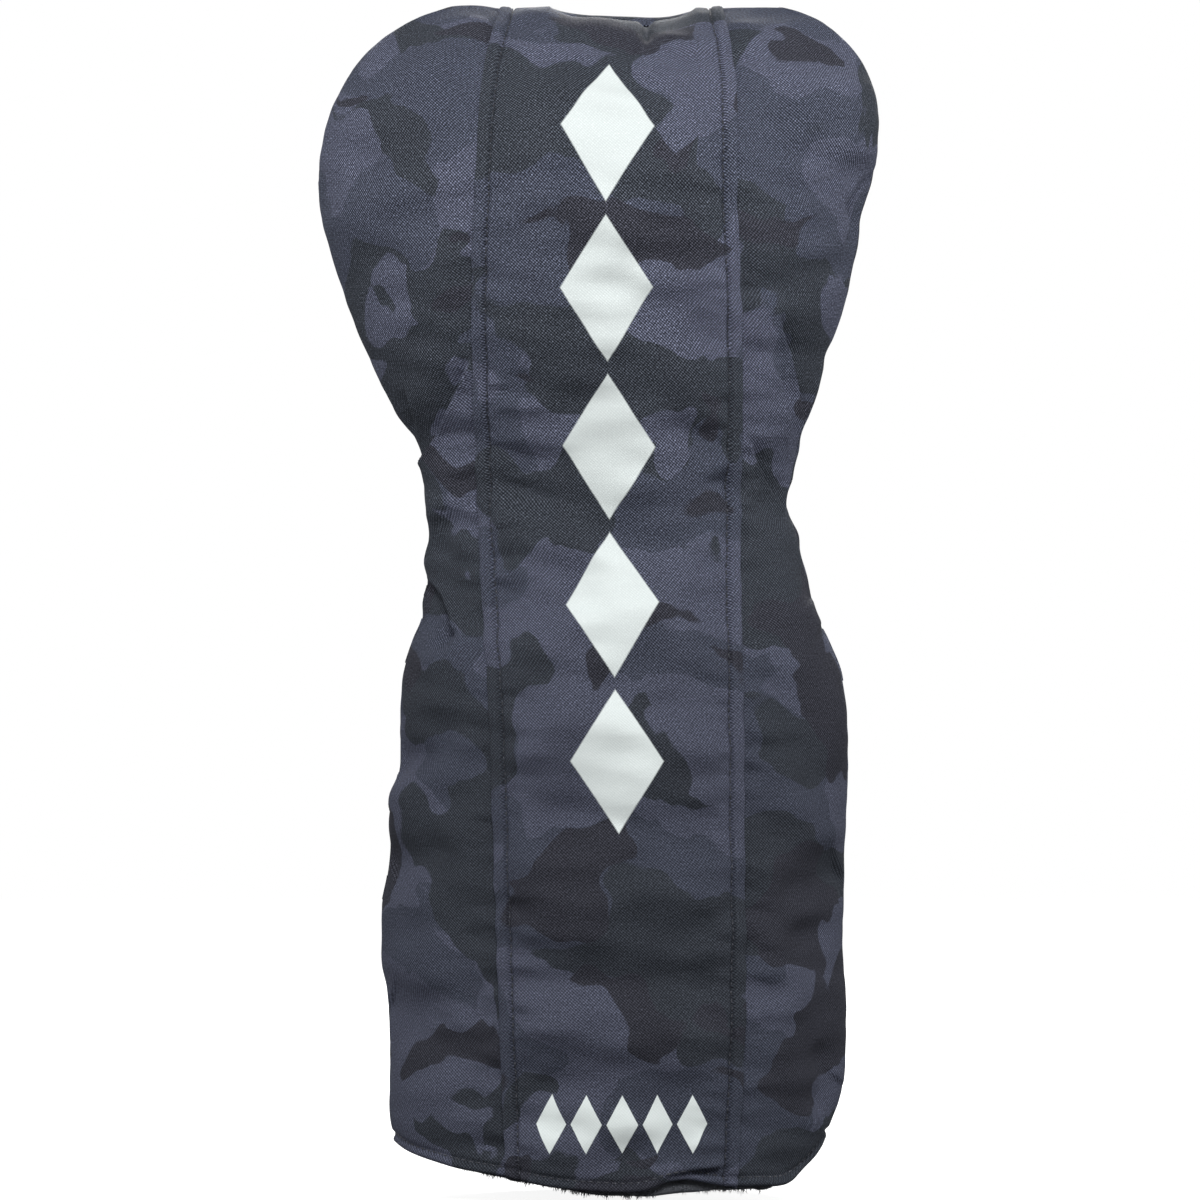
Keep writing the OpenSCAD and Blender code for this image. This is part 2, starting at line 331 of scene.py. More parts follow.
SIDE_FOLDS = [
    ([(-43, 262), (-48, 250), (-54, 238)], 0.8, 5),
    ([(-52, 190), (-47, 202), (-42, 207)], 1.8, 3.2, (0.05, 0.4)),
    ([(-49, 188), (-42, 198), (-37, 205)], -1.4, 4.0, (0.1, 0.4)),
    ([(-56, 153), (-46, 160), (-36, 163)], 1.0, 4.5),
    ([(-60, 128), (-50, 131), (-40, 140)], -1.5, 4.5, (0.02, 0.4)),
    ([(-62, 118), (-50, 121), (-38, 124)], 0.9, 5.0, (0.02, 0.4)),
    ([(-62, 99), (-52, 101), (-42, 107)], -1.5, 5.0, (0.02, 0.4)),
    ([(-62, 57), (-52, 54), (-40, 57)], -1.0, 6.0, (0.02, 0.4)),
    ([(46, 262), (49, 248), (50, 234)], 0.7, 3.2),
    ([(64, 176), (56, 186), (47, 190)], -1.2, 5, (0.05, 0.4)),
    ([(66, 168), (58, 172), (47, 176)], 1.0, 5, (0.1, 0.4)),
    ([(46, 160), (54, 148), (62, 130), (64, 112)], -1.4, 6),
    ([(45, 148), (52, 132), (58, 112), (66, 100)], 1.4, 6),
    ([(72, 96), (62, 92), (48, 92)], -1.5, 6, (0.05, 0.4)),
    ([(44, 84), (52, 70), (58, 52)], 1.1, 6),
    ([(66, 48), (67, 34), (65, 20)], -1.2, 3, (0.2, 0.3)),
    ([(72, 34), (66, 30), (58, 34)], -0.8, 5, (0.05, 0.5)),
]
SIDE_BUMPS = [((-45.5, 165.0), (2.6, 3.2), -2.4), ((-37, 347), (8, 7), 1.3), ((60, 77), (7, 5), -1.8, 25)]
# The folds of the sleeve are deeper than those above it.
SLEEVE_DEEPER = 0.6
SLEEVE_TOP, SLEEVE_EASE = 175 * MM, 25 * MM

# Soft waves across the front centre panel: (height, how far it stands out, width).
CENTRE_WAVES = [(163, 1.0, 7), (150, -0.9, 6), (134, 1.2, 8), (77, 0.6, 5), (63.5, -1.7, 5.5), (51, 1.7, 7),
                (36, -0.9, 8)]
CENTRE_FOLDS = [
    ([(-33, 124), (-20, 117), (-8, 110.5), (14, 108), (44, 112)], -1.9, 7.5, (0.1, 0.2)),
    ([(-33, 103), (-18, 94), (-4, 89), (16, 88), (44, 94)], 1.8, 8, (0.1, 0.2)),
    ([(-20, 200), (-6, 193), (8, 181)], 0.9, 4),
    ([(-22, 190), (-8, 181), (4, 170)], -0.9, 4.5),
    ([(-33, 212), (-20, 205), (-8, 200)], -0.6, 4),
    ([(40, 213), (28, 222), (20, 232)], -0.6, 5),
    ([(40, 225), (28, 232), (18, 245)], 0.5, 5),
    ([(-34, 210), (-22, 206.5), (-9, 202)], -0.9, 2.6, (0.05, 0.5)),
    ([(-34, 203), (-24, 200), (-12, 195)], 0.7, 3.0, (0.05, 0.5)),
    ([(-33, 236.5), (-25, 235), (-15, 233)], -0.5, 2.0, (0.05, 0.6)),
    ([(-33, 188), (-25, 190), (-16, 188)], -0.7, 2.4, (0.05, 0.6)),
    ([(41, 190), (34, 186), (24, 186)], -0.6, 2.6, (0.05, 0.6)),
    # Two folds that run from the pucker in the top seam.
    ([(13.5, 341), (8, 333), (2, 326)], -0.5, 2.2),
    ([(17, 342), (24, 336), (32, 332)], 0.5, 2.6),
]
# The hem is curled on the right, where the cloth above hangs over the band below.
HEM_CURL = ([(42, 12.4), (35, 10.8), (28, 10.0), (22, 9.2), (13, 6.0)], 2.0, 1.1, 4, 0.4, (0.12, 0.3))
# The top seam is puckered where it was closed.
SEAM_PUCKER = ((13.8, 343), (1.7, 3.6), -2.2)


def front_side_folds(x, z):
    """Folds of the two front side panels, where the elastic gathers the neck and the head turns in."""
    total = (sum(crease(x, z, *row) for row in SIDE_CREASES) + sum(fold(x, z, *row) for row in SIDE_FOLDS)
             + sum(bump(x, z, *row) for row in SIDE_BUMPS))
    return total * (1 + SLEEVE_DEEPER * smooth((SLEEVE_TOP - z) / SLEEVE_EASE))


def front_centre_folds(x, z):
    """Soft waves and folds across the front centre panel, its curled hem and its puckered top seam."""
    total = crease(x, z, *HEM_CURL) + bump(x, z, *SEAM_PUCKER)
    for z_at, height, width in CENTRE_WAVES:
        tilt = 3 * math.sin(z_at * 0.7)
        path = [(-34, z_at - tilt), (-8, z_at + 1.5), (16, z_at + tilt), (44, z_at - 2)]
        total = total + fold(x, z, path, height, width, (0.2, 0.2))
    return total + sum(fold(x, z, *row) for row in CENTRE_FOLDS)


# Dents and wrinkles of worn cloth, in millimetres: (how deep, how much deeper in the gathers, bump length,
# seed, stretch along x).
DENTS = [(1.1, 0.6, 30, 11, 1.5), (0.34, 0, 12, 23, 1.8)]
PUCKER_DEPTH, PUCKER_GATHERED, PUCKER_REACH = 0.5, 0.3, 8.0
EDGE_WRINKLE, EDGE_REACH = 0.16, 8.0
CENTRE_DEEPER = 1.5
PLEAT_LENGTH, PLEAT_DEPTH = 9.5 * MM, 1.9
SEAM_PULL, SEAM_REACH = 1.1, 1.2
HEM_SWELL, HEM_GROOVE, HEM_GROOVE_WIDTH = 0.35, 0.95, 0.7
LAP_RISE, LAP_GROOVE, LAP_SINK = 0.55, 0.8, 0.5
BESIDE_LAP = 1.6


def rises(distance, reach):
    """From 0 at a seam to 1 away from it, softly."""
    return 1 - np.exp(-(distance / reach) ** 2)


def relief(half, part, x, z, to_lap, to_edge, to_hem, settings):
    """How far the cloth stands out of the sewn shape, from its folds, gathers and seams."""
    lap = np.maximum(to_lap, 0) / MM
    edge = to_edge / MM
    inside = rises(edge, 4.0)
    off_lap = rises(lap, 6.0)
    gather = gather_at(z)
    worn = settings.fold_depth * MM
    out = 0
    for depth, gathered, length, seed, stretch in DENTS:
        dent = ripple(x, z, length * MM, seed + half, stretch)
        out = out + worn * (depth + gathered * gather) * dent * rises(edge, 9.0) * off_lap
    # Puckers start at the stitching.
    past = np.maximum(lap - LAP / MM, 0) if part == CENTRE else lap
    pucker = ripple(x, z, 7.5 * MM, 31 + half, 3.0) + 0.6 * ripple(x, z, 4.5 * MM, 37 + half, 2.5)
    near_lap = np.exp(-past / PUCKER_REACH) * (1 - np.exp(-past / 0.8))
    out = out + worn * (PUCKER_DEPTH + PUCKER_GATHERED * gather) * pucker * near_lap * inside
    near_edge = np.exp(-edge / EDGE_REACH) * (1 - np.exp(-edge / 3.0))
    out = out + worn * EDGE_WRINKLE * ripple(x, z, 9 * MM, 41 + half) * near_edge
    if half == FRONT and part == CENTRE:
        out = out + CENTRE_DEEPER * settings.fold_depth * front_centre_folds(x, z) * off_lap
    elif half == FRONT:
        out = out + settings.fold_depth * front_side_folds(x, z) * np.clip(lap / 3.0, 0.15, 1) * inside
    else:
        swing = x * 2 * math.pi / PLEAT_LENGTH + 1.5 * ripple(x, z, 60 * MM, 53)
        pleats = np.sin(swing) + 0.35 * np.sin(2 * swing + 1) + 0.4 * ripple(x, z, 16 * MM, 57, 0.5)
        out = out + worn * PLEAT_DEPTH * gather * pleats * inside * off_lap
    # The cloth is drawn in along every seam and stands full between them.
    out = out - SEAM_PULL * MM * np.exp(-edge / SEAM_REACH)
    hem = to_hem / MM
    groove = np.exp(-((hem - HEM_STITCH / MM) / HEM_GROOVE_WIDTH) ** 2)
    out = out + MM * (HEM_SWELL * np.exp(-hem / 1.2) - HEM_GROOVE * groove)
    if part == CENTRE:
        strip = np.clip(lap / (LAP / MM), 0, 1)
        raised = LAP_RISE * (1 - np.abs(2 * strip - 1) ** 4) * np.clip(edge / 6, 0, 1)
        groove = LAP_GROOVE * np.exp(-((lap - LAP / MM) / 0.5) ** 2)
        sunk = LAP_SINK * (1 - np.exp(-lap)) * np.exp(-past / 5.0)
        return out + MM * (raised - groove - sunk)
    return out - BESIDE_LAP * MM * np.exp(-lap / 5.0) * np.clip(edge / 8, 0, 1)


# ---------------------------------------------------------------- cloth meshes

def normals_of(points):
    """Unit normals of a grid of points, on its outer side."""
    across = np.gradient(points, axis=1)
    up = np.gradient(points, axis=0)
    normal = np.cross(across, up)
    length = np.linalg.norm(normal, axis=-1, keepdims=True)
    return normal / np.maximum(length, 1e-12)


def columns(half, part, steps, z):
    """x of every column at heights z, with distances to the lap's folded edge and to the side seam."""
    left, right = outline(z)
    low, high = LEFT_LAP(z), RIGHT_LAP(z)
    t = np.linspace(0, 1, steps)[None, :]
    if part == CENTRE:
        t = np.interp(t, *CENTRE_COLUMNS)
    if (part == LEFT) != (half == BACK):
        t = 1 - t
    if part == CENTRE:
        x = low + (high - low) * t
        to_lap = np.minimum(x - low, high - x)
        to_edge = np.full(x.shape, 1.0)  # far from any side seam
    else:
        centre = middle(z)
        edge, lap, way = (left, low, -1) if part == LEFT else (right, high, 1)
        start = np.arcsin(np.clip(((lap - centre) * way - LAP) / ((edge - centre) * way), 0, 1))
        turn = start + (math.pi / 2 - start) * t
        x = centre + np.sin(turn) * (edge - centre)
        to_lap = (x - lap) * way
        to_edge = (math.pi / 2 - turn) * half_depth(np.minimum(z, DOME_Z)) * 0.9
    return x, to_lap, to_edge


def base_grid(half, part, step, lining=False):
    """The smooth panel: points, normals, x, h and the distances to its lap, its nearest seam and its hem."""
    top = DOME_Z + DOME_ARC
    rows = int(top / step)
    steps = int((78 if part == CENTRE else 82) * MM / step)
    share = np.linspace(0, 1, rows)[:, None]
    h = share * top
    for _ in range(9):
        x, to_lap, to_edge = columns(half, part, steps, row_of(h)[0])
        low = hem_height(half, x, lining)
        h = (h + low + (top - low) * share) / 2
    base = shell(half, x, h)
    return base, normals_of(base), x, h, to_lap, np.minimum(to_edge, top - h), h - low


def panel_grid(half, part, step, settings, inset=0.0, lining=False):
    """Points, cloth coordinates and normals of one panel, from its hem to the top seam."""
    base, normal, x, h, to_lap, to_edge, to_hem = base_grid(half, part, step, lining)
    out = relief(half, part, x, base[..., 2], to_lap, to_edge, to_hem, settings)
    points = base + normal * (out - inset)[..., None]
    if (half, part) in SETTLED:
        calm = 0.1 + 0.9 * (1 - np.exp(-(to_edge / (16 * MM)) ** 2))
        points = points + spread(SETTLED[half, part], *h.shape) * calm[..., None]
    points[..., 1] = half * np.maximum(points[..., 1] * half, 0)
    points[..., 2] = np.maximum(points[..., 2], (0.5 * MM if lining else HEM_ROLL + 0.4 * MM))
    points[-1, :, 1] = 0
    if part != CENTRE:
        points[:, seam_column(half, part), 1] = 0
    around = np.cumsum(np.linalg.norm(np.diff(base, axis=1, prepend=base[:, :1]), axis=-1), axis=1)
    anchor = h.shape[1] // 2 if part == CENTRE else -1 - seam_column(half, part)
    uv = np.stack([around - around[:, anchor][:, None], h + 0 * x], -1)
    return points, uv, normal


def seam_column(half, part):
    """The column of a side panel that lies on the side seam: its first or its last."""
    return 0 if (part == LEFT) == (half == FRONT) else -1


def spread(field, rows, cols):
    """A coarse field of vectors as a smooth one with more rows and columns."""
    for axis, count in ((0, rows), (1, cols)):
        field = np.moveaxis(field, axis, 0)
        place = np.linspace(0, len(field) - 1, count)
        low = np.clip(place.astype(int), 0, len(field) - 2)
        t = (place - low).reshape(-1, *([1] * (field.ndim - 1)))
        last = len(field) - 1
        before, one, two, after = (field[np.clip(low + k, 0, last)] for k in (-1, 0, 1, 2))
        field = one + 0.5 * t * (two - before + t * (2 * before - 5 * one + 4 * two - after
                                                     + t * (3 * (one - two) + after - before)))
        field = np.moveaxis(field, 0, axis)
    return field


def roll_under(grid, radius, tail):
    """Turns the first row of a grid of points, cloth coordinates and normals under, with a tail behind it."""
    points, uv, normal = grid
    edge, inward = points[0], -normal[0]
    out = edge - points[3]
    out = out - inward * np.sum(out * inward, axis=-1, keepdims=True)
    out = out / np.maximum(np.linalg.norm(out, axis=-1, keepdims=True), 1e-9)
    way = uv[0] - uv[3]
    way = way / np.maximum(np.linalg.norm(way, axis=-1, keepdims=True), 1e-9)
    rows, coords = [], []
    turns = np.linspace(0, math.pi, 8)[1:]
    for angle in turns:
        rows.append(edge + out * radius * math.sin(angle) + inward * radius * (1 - math.cos(angle)))
        coords.append(uv[0] + way * radius * angle)
    for share in (0.34, 0.67, 1.0):
        rows.append(rows[len(turns) - 1] - out * tail * share)
        coords.append(coords[len(turns) - 1] + way * tail * share)
    extra = np.repeat(normal[:1], len(rows), axis=0)
    return (np.concatenate([np.stack(rows[::-1]), points]), np.concatenate([np.stack(coords[::-1]), uv]),
            np.concatenate([extra, normal]))


def roll_sides(grid, radius, tail):
    """Turns both long sides of a grid under, as a lap's folded edges."""
    grid = tuple(array.transpose(1, 0, 2) for array in grid)
    grid = roll_under(grid, radius, tail)
    grid = tuple(array[::-1] for array in grid)
    grid = roll_under(grid, radius, tail)
    return tuple(array[::-1].transpose(1, 0, 2) for array in grid)


def add_object(name, data):
    """A new object in the scene."""
    made = bpy.data.objects.new(name, data)
    bpy.context.scene.collection.objects.link(made)
    return made


def grid_order(mesh, rows, cols):
    """The row and the column of each vertex of a grid mesh that is one unit wide."""
    flat = np.zeros(len(mesh.vertices) * 3)
    mesh.vertices.foreach_get("co", flat)
    place = flat.reshape(-1, 3)
    axes = ((1, rows), (0, cols))
    return tuple(np.rint((place[:, axis] + 0.5) * (count - 1)).astype(int) for axis, count in axes)


def cloth(name, points, uv, material, thickness=0.0):
    """A mesh of the grid of points, with its cloth coordinates, and a thickness on its inner side."""
    rows, cols = points.shape[:2]
    bm = bmesh.new()
    bmesh.ops.create_grid(bm, x_segments=cols - 1, y_segments=rows - 1, size=0.5)
    mesh = bpy.data.meshes.new(name)
    bm.to_mesh(mesh)
    bm.free()
    if len(mesh.vertices) != rows * cols:
        raise RuntimeError(f"{name}: the grid has {len(mesh.vertices)} points and not {rows * cols}")
    row, col = GRID_ORDER[name] = grid_order(mesh, rows, cols)
    mesh.vertices.foreach_set("co", points[row, col].ravel())
    loops = np.zeros(len(mesh.loops), int)
    mesh.loops.foreach_get("vertex_index", loops)
    layer = mesh.uv_layers.new(name="cloth")
    layer.data.foreach_set("uv", uv[row, col][loops].ravel())
    mesh.polygons.foreach_set("use_smooth", [True] * len(mesh.polygons))
    mesh.update()
    piece = add_object(name, mesh)
    mesh.materials.append(material)
    if thickness:
        solid = piece.modifiers.new("thickness", "SOLIDIFY")
        solid.thickness = thickness
        solid.offset = -1
    return piece


# ---------------------------------------------------------------- materials

class Nodes:
    """A short way to write the nodes of a material or a world."""

    def __init__(self, owner):
        owner.use_nodes = True
        self.owner = owner
        self.tree = owner.node_tree

    @classmethod
    def for_material(cls, name):
        """A new material's nodes, with its shader at hand."""
        made = cls(bpy.data.materials.new(name))
        made.shader = made.tree.nodes["Principled BSDF"]
        return made

    def add(self, kind, inputs=(), out=0, **settings):
        """Adds a node, sets its properties and inputs, and returns one of its outputs."""
        made = self.tree.nodes.new(kind)
        for key, value in settings.items():
            setattr(made, key, value)
        for key, value in dict(inputs).items():
            self.put(made.inputs[key], value)
        return made.outputs[out]

    def put(self, socket, value):
        """Links an output to the socket, or sets the socket's own value."""
        if isinstance(value, bpy.types.NodeSocket):
            self.tree.links.new(value, socket)
        else:
            socket.default_value = value

    def math(self, operation, *values):
        """One step of arithmetic."""
        return self.add("ShaderNodeMath", enumerate(values), operation=operation)

    def mix(self, share, one, two, mode="MIX"):
        """Mixes two colours."""
        inputs = {0: share, 6: one, 7: two}
        return self.add("ShaderNodeMix", inputs, out=2, data_type="RGBA", blend_type=mode)

    def step(self, value, low, high, start=0.0, end=1.0):
        """Maps a value from low..high to start..end and clamps it."""
        return self.add("ShaderNodeMapRange", {0: value, 1: low, 2: high, 3: start, 4: end})

    def noise(self, vector, scale, detail=2.0, roughness=0.5):
        """Noise from 0 to 1 at a place."""
        inputs = {"Vector": vector, "Scale": scale, "Detail": detail, "Roughness": roughness}
        return self.add("ShaderNodeTexNoise", inputs)

    def split(self, vector):
        """The three coordinates of a vector."""
        made = self.tree.nodes.new("ShaderNodeSeparateXYZ")
        self.put(made.inputs[0], vector)
        return made.outputs

    def paint(self, **values):
        """Sets the shader's own inputs, each named as Blender names it, with _ for a space."""
        for name, value in values.items():
            self.put(self.shader.inputs[name.replace("_", " ")], value)


def rgba(colour):
    """A colour property as a socket's four numbers."""
    return (*colour, 1.0)


PATCH_SLANT = (0.52, 0.41, 0.35)
PATCH_STRETCH = (0.66, 1.0, 1.0)
PATCH_RISE = (80 * MM, 270 * MM)
PATCH_EDGE = 0.003
# Heights between which the painted sheen of the head fades in.
PAINTED_SHEEN_FROM, PAINTED_SHEEN_TO = 130 * MM, 250 * MM
FLOAT_RELIEF = 0.07 * MM
PRINT_RELIEF = 0.12 * MM
TWILL_ROUGHNESS = 0.75
PRINT_ROUGHNESS = 0.60


def twill_material(settings, printed):
    """Camouflage polyester twill, with or without the white print of the centre panel."""
    n = Nodes.for_material("printed_twill" if printed else "camouflage_twill")
    cloth_at = n.add("ShaderNodeUVMap", uv_map="cloth")
    u, v, _ = n.split(cloth_at)
    up = n.split(n.add("ShaderNodeTexCoord", out=3))[2]

    # Camouflage: lobed patches, wider than tall, with crisp fingered edges.
    def pushed(start, size, reach):
        wander = n.add("ShaderNodeTexNoise", {"Vector": start, "Scale": 1 / size, "Detail": 1.0}, out=1)
        centred = n.add("ShaderNodeVectorMath", {0: wander, 1: (0.5, 0.5, 0.5)}, operation="SUBTRACT")
        moved = n.add("ShaderNodeVectorMath", {0: centred, "Scale": reach}, operation="SCALE")
        return n.add("ShaderNodeVectorMath", {0: start, 1: moved}, operation="ADD")

    bent = pushed(pushed(cloth_at, 26 * MM, 26 * MM), 11 * MM, 10 * MM)

    def patches(offset, size, cut, lower=0.0):
        """Where the noise is above the cut. Its slant keeps the noise's own grid out of sight."""
        moved = n.add("ShaderNodeMapping", {"Vector": bent, "Location": offset, "Rotation": PATCH_SLANT,
                                            "Scale": PATCH_STRETCH})
        field = n.math("ADD", n.noise(moved, 1 / size, 1.0, 0.4), n.step(up, *PATCH_RISE, lower, 0.0))
        return n.step(field, cut - PATCH_EDGE, cut + PATCH_EDGE)

    colour = n.mix(patches((3.1, 0.7, 0.0), 0.040, 0.50), rgba(settings.ground), rgba(settings.slate))
    colour = n.mix(patches((1.7, 5.2, 0.3), 0.036, 0.535, 0.035), colour, rgba(settings.moss))
    colour = n.mix(patches((8.3, 2.9, 0.9), 0.032, 0.62, 0.03), colour, rgba(settings.plum))
    colour = n.mix(patches((5.9, 7.4, 0.6), 0.028, 0.66), colour, rgba(settings.ground))

    # Twill: slanting rows of small pale floats, with stray bright fibres. Their paleness is partly the
    # weave's own tone and partly painted glints on the threads.
    pitch = settings.twill_pitch
    slant = n.math("ADD", n.math("DIVIDE", u, pitch * 1.556), n.math("DIVIDE", v, pitch * 1.305))
    rib = n.math("SINE", n.math("MULTIPLY", slant, 2 * math.pi))
    counter = n.math("SUBTRACT", n.math("DIVIDE", u, pitch * 1.63), n.math("DIVIDE", v, pitch * 1.94))
    thread = n.math("SINE", n.math("MULTIPLY", counter, 2 * math.pi))
    fibre_and_glint_noise = n.noise(cloth_at, 1500.0, 1.0, 0.5)
    fibre_tone_and_glint = n.math("MULTIPLY", n.math("SUBTRACT", fibre_and_glint_noise, 0.5), 1.7)
    floats = n.math("ADD", n.math("MULTIPLY", rib, 0.50), n.math("MULTIPLY", thread, 0.32))
    fine = n.math("ADD", floats, fibre_tone_and_glint)
    # Painted sheen: the cloth of the head is painted lighter, with brighter floats, as if it caught the lamps
    # above, and the sleeve below it is painted darker.
    painted_head_sheen = n.step(up, PAINTED_SHEEN_FROM, PAINTED_SHEEN_TO)
    shade = n.math("POWER", n.math("ADD", n.math("MULTIPLY", painted_head_sheen, 2.6), 2.6), fine)
    cloudy = n.noise(cloth_at, 60.0, 3.0, 0.6)
    shade = n.math("MULTIPLY", shade, n.step(cloudy, 0.2, 0.8, 0.90, 1.10))
    # Painted sheen: lighter on the head, darker on the sleeve.
    shade = n.math("MULTIPLY", shade, n.step(painted_head_sheen, 0.0, 1.0, 0.90, 1.12))
    grey = n.add("ShaderNodeCombineColor", {0: shade, 1: shade, 2: shade})
    colour = n.mix(1.0, colour, grey, "MULTIPLY")
    height = n.math("MULTIPLY", fine, FLOAT_RELIEF)

    n.paint(Roughness=TWILL_ROUGHNESS, Specular_IOR_Level=0.05)
    if printed:
        mask = print_mask(n, u, v)
        film = n.mix(1.0, rgba(settings.print_white), n.mix(0.05, (1, 1, 1, 1), grey), "MULTIPLY")
        colour = n.mix(mask, colour, film)
        height = n.math("ADD", n.math("MULTIPLY", height, n.step(mask, 0.0, 1.0, 1.0, 0.35)),
                        n.math("MULTIPLY", mask, PRINT_RELIEF))
        n.paint(Roughness=n.step(mask, 0.0, 1.0, TWILL_ROUGHNESS, PRINT_ROUGHNESS))
    n.paint(Base_Color=colour,
            Normal=n.add("ShaderNodeBump", {"Strength": 0.8, "Distance": 1.0, "Height": height}))
    return n.owner


PRINT_LOW, PRINT_HIGH = 106 * MM, 334 * MM
PRINT_COUNT = 5
PRINT_HALF_WIDTH = 13.5 * MM
BADGE_Z = 23.5 * MM
BADGE_STEP = 10.5 * MM
BADGE_COUNT = 5
BADGE_HALF = (4.6 * MM, 8.5 * MM)


def print_mask(n, u, v):
    """Where the white lozenges lie: one column up the panel, and a row of small ones by the hem."""
    def lozenge(across, up, half_w, half_h):
        reach = n.math("ADD", n.math("DIVIDE", n.math("ABSOLUTE", across), half_w),
                       n.math("DIVIDE", n.math("ABSOLUTE", up), half_h))
        return n.step(reach, 1.02, 0.98)
    pitch = (PRINT_HIGH - PRINT_LOW) / PRINT_COUNT
    share = n.math("DIVIDE", n.math("SUBTRACT", v, PRINT_LOW), pitch)
    local = n.math("MULTIPLY", n.math("SUBTRACT", n.math("FRACT", share), 0.5), pitch)
    within = n.math("MULTIPLY", n.math("GREATER_THAN", share, 0.0),
                    n.math("LESS_THAN", share, float(PRINT_COUNT)))
    tall = lozenge(u, local, PRINT_HALF_WIDTH, pitch * 0.46)
    column = n.math("MULTIPLY", tall, within)
    beside = n.math("DIVIDE", u, BADGE_STEP)
    near = n.math("MULTIPLY", n.math("SUBTRACT", beside, n.math("ROUND", beside)), BADGE_STEP)
    row = n.math("LESS_THAN", n.math("ABSOLUTE", beside), BADGE_COUNT / 2)
    small = lozenge(near, n.math("SUBTRACT", v, BADGE_Z), *BADGE_HALF)
    return n.math("MAXIMUM", column, n.math("MULTIPLY", small, row))


def fleece_material():
    """Short dark fleece of the lining."""
    n = Nodes.for_material("dark_fleece")
    at = n.add("ShaderNodeTexCoord", out=3)
    tufts = n.noise(at, 900.0, 3.0, 0.7)
    clumps = n.noise(at, 160.0, 2.0, 0.6)
    both = n.math("ADD", n.math("MULTIPLY", tufts, 0.6), n.math("MULTIPLY", clumps, 0.4))
    # Lighter where the pile stands high and darker in its hollows: partly the pile's own random tone, partly
    # painted shade.
    ramp = n.mix(n.step(both, 0.3, 0.7), (0.018, 0.020, 0.024, 1), (0.090, 0.096, 0.110, 1))
    depth = n.math("MULTIPLY", both, 0.9 * MM)
    n.paint(Base_Color=ramp, Roughness=0.95, Sheen_Weight=0.5, Sheen_Roughness=0.6,
            Sheen_Tint=(0.55, 0.58, 0.68, 1),
            Normal=n.add("ShaderNodeBump", {"Strength": 1.0, "Distance": 1.0, "Height": depth}))
    return n.owner


def thread_material():
    """Dark polyester sewing thread, twisted, with pale flecks of painted glint."""
    n = Nodes.for_material("sewing_thread")
    at = n.add("ShaderNodeTexCoord", out=3)
    twist_and_glint = n.noise(at, 2600.0, 2.0, 0.6)
    dark = n.mix(n.step(twist_and_glint, 0.35, 0.60), (0.005, 0.006, 0.010, 1), (0.022, 0.025, 0.036, 1))
    # The pale flecks are painted glints on the thread.
    n.paint(Base_Color=n.mix(n.step(twist_and_glint, 0.62, 0.68), dark, (0.24, 0.25, 0.30, 1)), Roughness=0.6)
    return n.owner


def elastic_material():
    """Ribbed white elastic, hidden between padding and lining."""
    n = Nodes.for_material("ribbed_elastic")
    cloth_at = n.add("ShaderNodeUVMap", uv_map="cloth")
    ribs = n.add("ShaderNodeTexWave", {"Vector": cloth_at, "Scale": 120.0, "Distortion": 0.4},
                 out=1, bands_direction="Y")
    # The grooves between the ribs are painted darker than the ribs: painted shade.
    n.paint(Base_Color=n.mix(ribs, (0.55, 0.55, 0.53, 1), (0.75, 0.75, 0.72, 1)), Roughness=0.8,
            Normal=n.add("ShaderNodeBump", {"Strength": 0.6, "Distance": 0.3 * MM, "Height": ribs}))
    return n.owner


FLOOR_THROW = 0.15  # the floor's own colour as the cover sees it, so that folds keep their shade
FLOOR_GLOW = 1.8


def floor_material():
    """Pale floor, white to the camera, that keeps the cover's shadow and throws little light up at it."""
    n = Nodes.for_material("pale_floor")
    at = n.add("ShaderNodeTexCoord", out=3)
    pale = n.mix(n.noise(at, 40.0), (0.90, 0.90, 0.90, 1), (0.93, 0.93, 0.93, 1))
    by_camera = n.add("ShaderNodeLightPath")
    n.paint(Base_Color=n.mix(by_camera, (*[FLOOR_THROW] * 3, 1), pale), Roughness=0.9)
    white = n.add("ShaderNodeEmission", {"Color": (1, 1, 1, 1), "Strength": FLOOR_GLOW})
    share = n.math("MULTIPLY", by_camera, 0.5)
    both = n.add("ShaderNodeMixShader", {0: share, 1: n.shader.outputs[0], 2: white})
    n.put(n.tree.nodes["Material Output"].inputs[0], both)
    return n.owner


MATERIALS = {}


def material(name):
    """Makes each material once."""
    settings = bpy.context.scene.head_cover
    makers = {
        "twill": lambda: twill_material(settings, False),
        "printed": lambda: twill_material(settings, True),
        "fleece": fleece_material,
        "thread": thread_material,
        "elastic": elastic_material,
        "floor": floor_material,
    }
    if name not in MATERIALS:
        MATERIALS[name] = makers[name]()
    return MATERIALS[name]


# ---------------------------------------------------------------- pieces

GRIDS = {}
PANEL_STEP = {FRONT: 0.8 * MM, BACK: 1.2 * MM}
LINING_STEP = 2.5 * MM
SETTLED = {}
GRID_ORDER = {}
CLOTH_STEP = 2.6 * MM
CLOTH_FRAMES = 22
CLOTH_REACH = 3.5 * MM
PADDING_HOLD = 0.03
SPARE_ROUND = 0.012
CLOTH_SETTINGS = {
    "vertex_group_mass": "held", "pin_stiffness": 1.0, "mass": 0.2, "tension_stiffness": 25,
    "compression_stiffness": 25, "shear_stiffness": 12, "bending_stiffness": 0.6, "air_damping": 2,
    "quality": 6, "use_pressure": True, "uniform_pressure_force": 1.0,
}
UV_SHIFT = {(FRONT, LEFT): (0.21, 0.03), (FRONT, CENTRE): (0, 0), (FRONT, RIGHT): (0.47, 0.11),
            (BACK, LEFT): (0.93, 0.17), (BACK, CENTRE): (1.31, 0.05), (BACK, RIGHT): (1.73, 0.09)}


def gather_at(z):
    """How strongly the neck's elastic gathers the cloth at height z, from 0 to 1."""
    return np.exp(-((z - NECK_Z) / (26 * MM)) ** 2)


